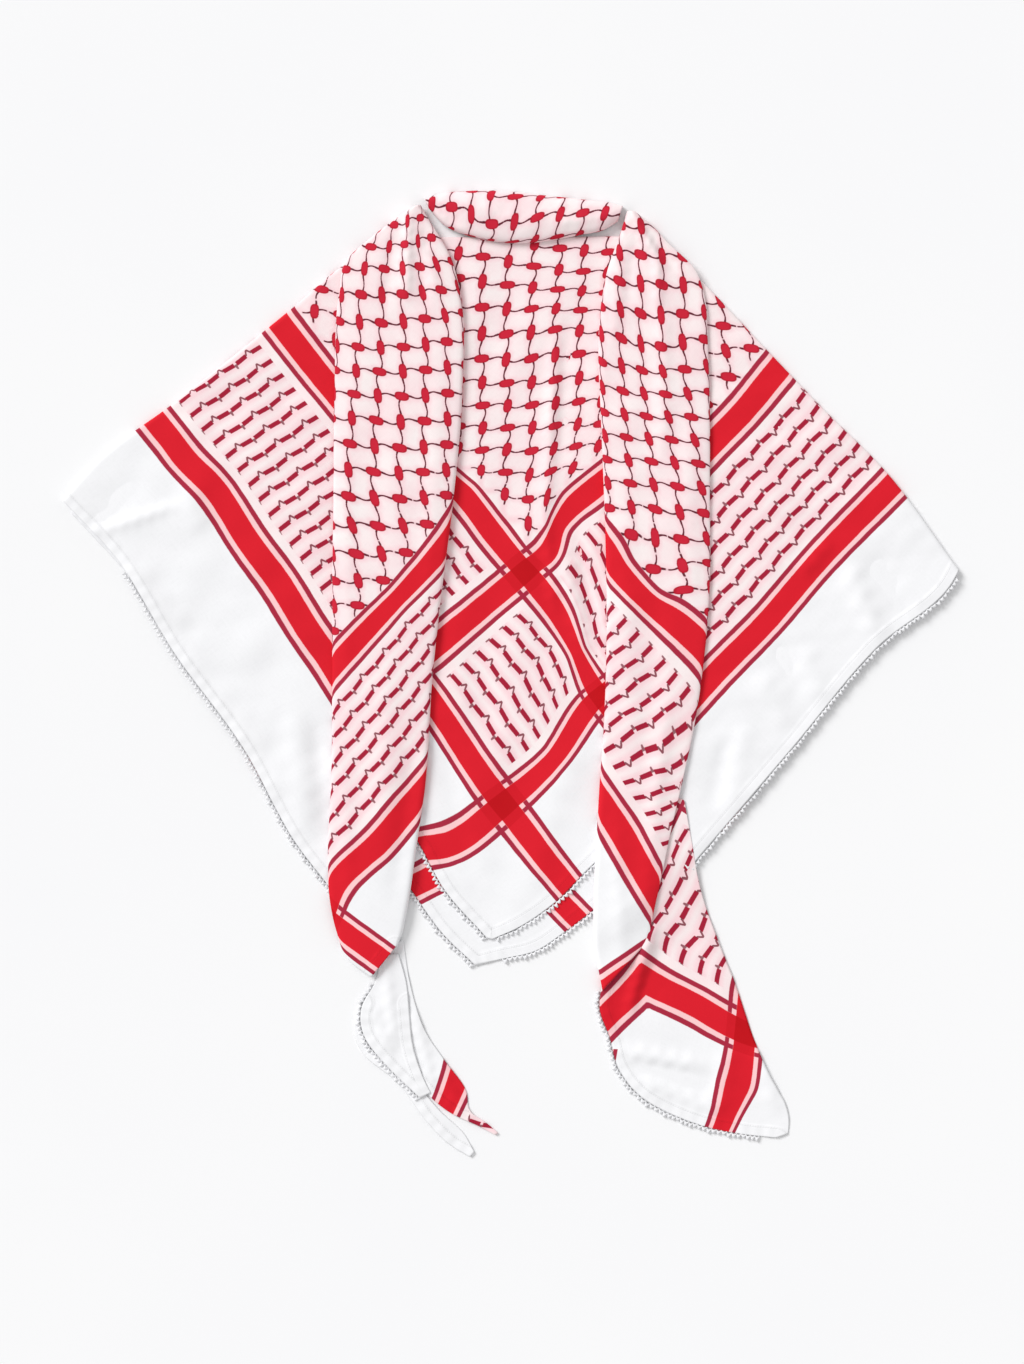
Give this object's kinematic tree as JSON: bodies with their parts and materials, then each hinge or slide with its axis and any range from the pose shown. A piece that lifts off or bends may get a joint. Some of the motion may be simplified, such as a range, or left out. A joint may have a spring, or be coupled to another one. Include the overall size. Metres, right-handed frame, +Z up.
{
  "type": "keffiyeh headscarf",
  "caption": "Square patterned cotton headscarf folded corner to corner, its folded edge rolled, laid flat with both ends brought forward.",
  "frame": {"origin": "middle of the laid-out scarf's box, on the surface that it lies on", "axes": "+Z up from the surface, +Y towards the neck roll, +X to the right"},
  "size_m": [0.8088, 0.8691, 0.0135],
  "materials": {
    "patterned_cotton": "soft satin cotton with a woven red pattern",
    "inner_layers": "cotton, hidden inside the folds",
    "edging": "white picot edging"
  },
  "bodies": {
    "root": {"back_under": "patterned_cotton", "back_top": "patterned_cotton", "left_inner": "inner_layers", "right_inner": "inner_layers", "left_wing": "patterned_cotton", "right_wing": "patterned_cotton", "left_tail_core": "inner_layers", "right_tail_core": "inner_layers", "left_tail": "patterned_cotton", "right_tail": "patterned_cotton", "right_tail_end": "patterned_cotton", "left_tail_end": "patterned_cotton", "left_tail_tip": "patterned_cotton", "left_tail_tip_under": "patterned_cotton", "collar_core": "inner_layers", "collar": "patterned_cotton", "back_top_left_edging": "edging", "back_top_right_edging": "edging", "back_under_left_edging": "edging", "back_under_right_edging": "edging", "left_wing_edging": "edging", "right_wing_edging": "edging", "left_tail_end_edging": "edging", "right_tail_end_edging": "edging"}
  },
  "joints": []
}
